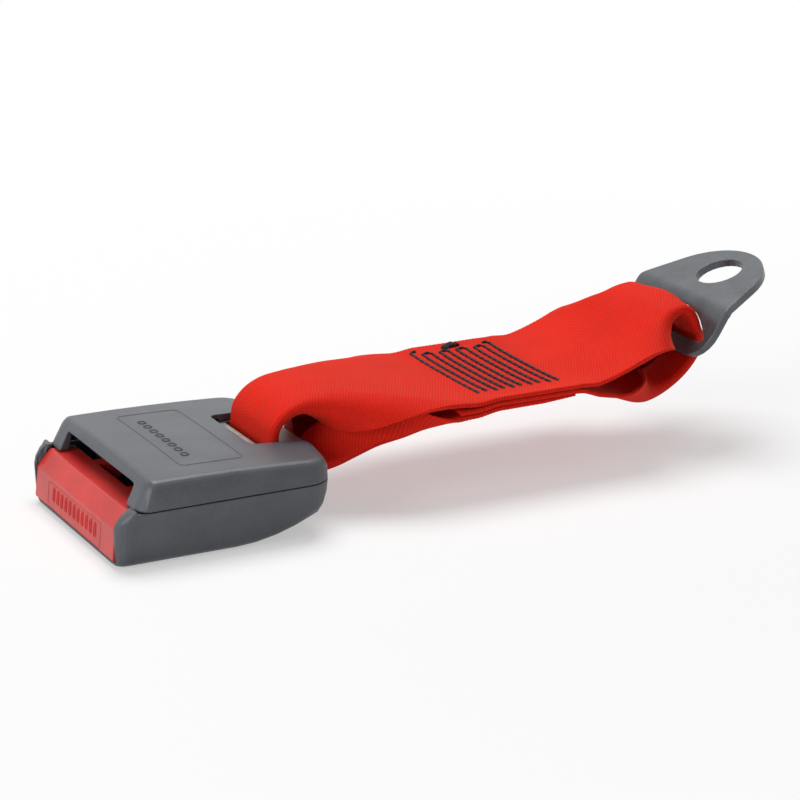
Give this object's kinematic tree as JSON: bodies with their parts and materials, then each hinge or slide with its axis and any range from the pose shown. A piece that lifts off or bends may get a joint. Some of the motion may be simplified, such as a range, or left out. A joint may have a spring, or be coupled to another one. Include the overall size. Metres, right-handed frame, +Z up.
{
  "type": "seat belt buckle",
  "caption": "Grey seat belt buckle with a red press button on a short sewn red webbing loop, held by a bent steel anchor plate with a bolt hole",
  "frame": {"origin": "centre of the anchor plate's bolt hole, on the plate's upper face", "axes": "+X runs from the press button to the anchor plate, +Z is up out of the buckle's top cover, +Y is across the webbing"},
  "size_m": [0.1923, 0.0592, 0.0456],
  "materials": {
    "grey_plastic": "dark grey moulded plastic, satin",
    "red_plastic": "red moulded plastic, semi-gloss",
    "zinc_steel": "bright zinc plated steel",
    "spring_steel": "drawn spring wire",
    "white_plastic": "natural moulded plastic",
    "red_webbing": "woven polyester webbing with ribbed weave",
    "coated_steel": "dark satin coating on stamped steel"
  },
  "bodies": {
    "anchor": {"anchor_plate": "coated_steel"},
    "strap": {"webbing": "red_webbing"},
    "buckle_head": {"upper_cover": "grey_plastic", "lower_cover": "grey_plastic", "frame_plate": "zinc_steel", "latch_bracket": "zinc_steel", "rivet_front_left": "zinc_steel", "rivet_front_right": "zinc_steel", "rivet_rear_left": "zinc_steel", "rivet_rear_right": "zinc_steel", "latch_pivot_pin": "zinc_steel", "cover_screw_left": "zinc_steel", "cover_screw_right": "zinc_steel", "button_spring_left": "spring_steel", "button_spring_right": "spring_steel", "latch_spring": "spring_steel", "ejector_spring": "spring_steel"},
    "button": {"press_button": "red_plastic"},
    "latch": {"latch_plate": "zinc_steel"},
    "ejector": {"ejector": "white_plastic"}
  },
  "joints": [
    {"name": "anchor_swing", "type": "hinge", "parent": "anchor", "child": "strap", "pos_m": [-0.01718, 0, -0.01504], "axis": [0, 1, 0], "range_deg": [-18, 18]},
    {"name": "buckle_swing", "type": "hinge", "parent": "strap", "child": "buckle_head", "pos_m": [-0.12871, 0, -0.02538], "axis": [0, 1, 0], "range_deg": [-12, 12]},
    {"name": "button_press", "type": "slide", "parent": "buckle_head", "child": "button", "axis": [1, 0, 0], "range_m": [0, 0.0045], "stiffness_N_per_m": 1500, "springref_m": -0.002, "deforming": ["button_spring_left", "button_spring_right"]},
    {"name": "latch_swing", "type": "hinge", "parent": "buckle_head", "child": "latch", "pos_m": [-0.14222, 0, -0.03488], "axis": [0, -1, 0], "range_deg": [0, 6.65], "deforming": ["latch_spring"]},
    {"name": "ejector_slide", "type": "slide", "parent": "buckle_head", "child": "ejector", "axis": [1, 0, 0], "range_m": [0, 0.008], "stiffness_N_per_m": 400, "springref_m": -0.003, "deforming": ["ejector_spring"]}
  ],
  "couplings": [
    {"joint": "latch_swing", "follows": "button_press", "rad_per_m": 25.6}
  ]
}
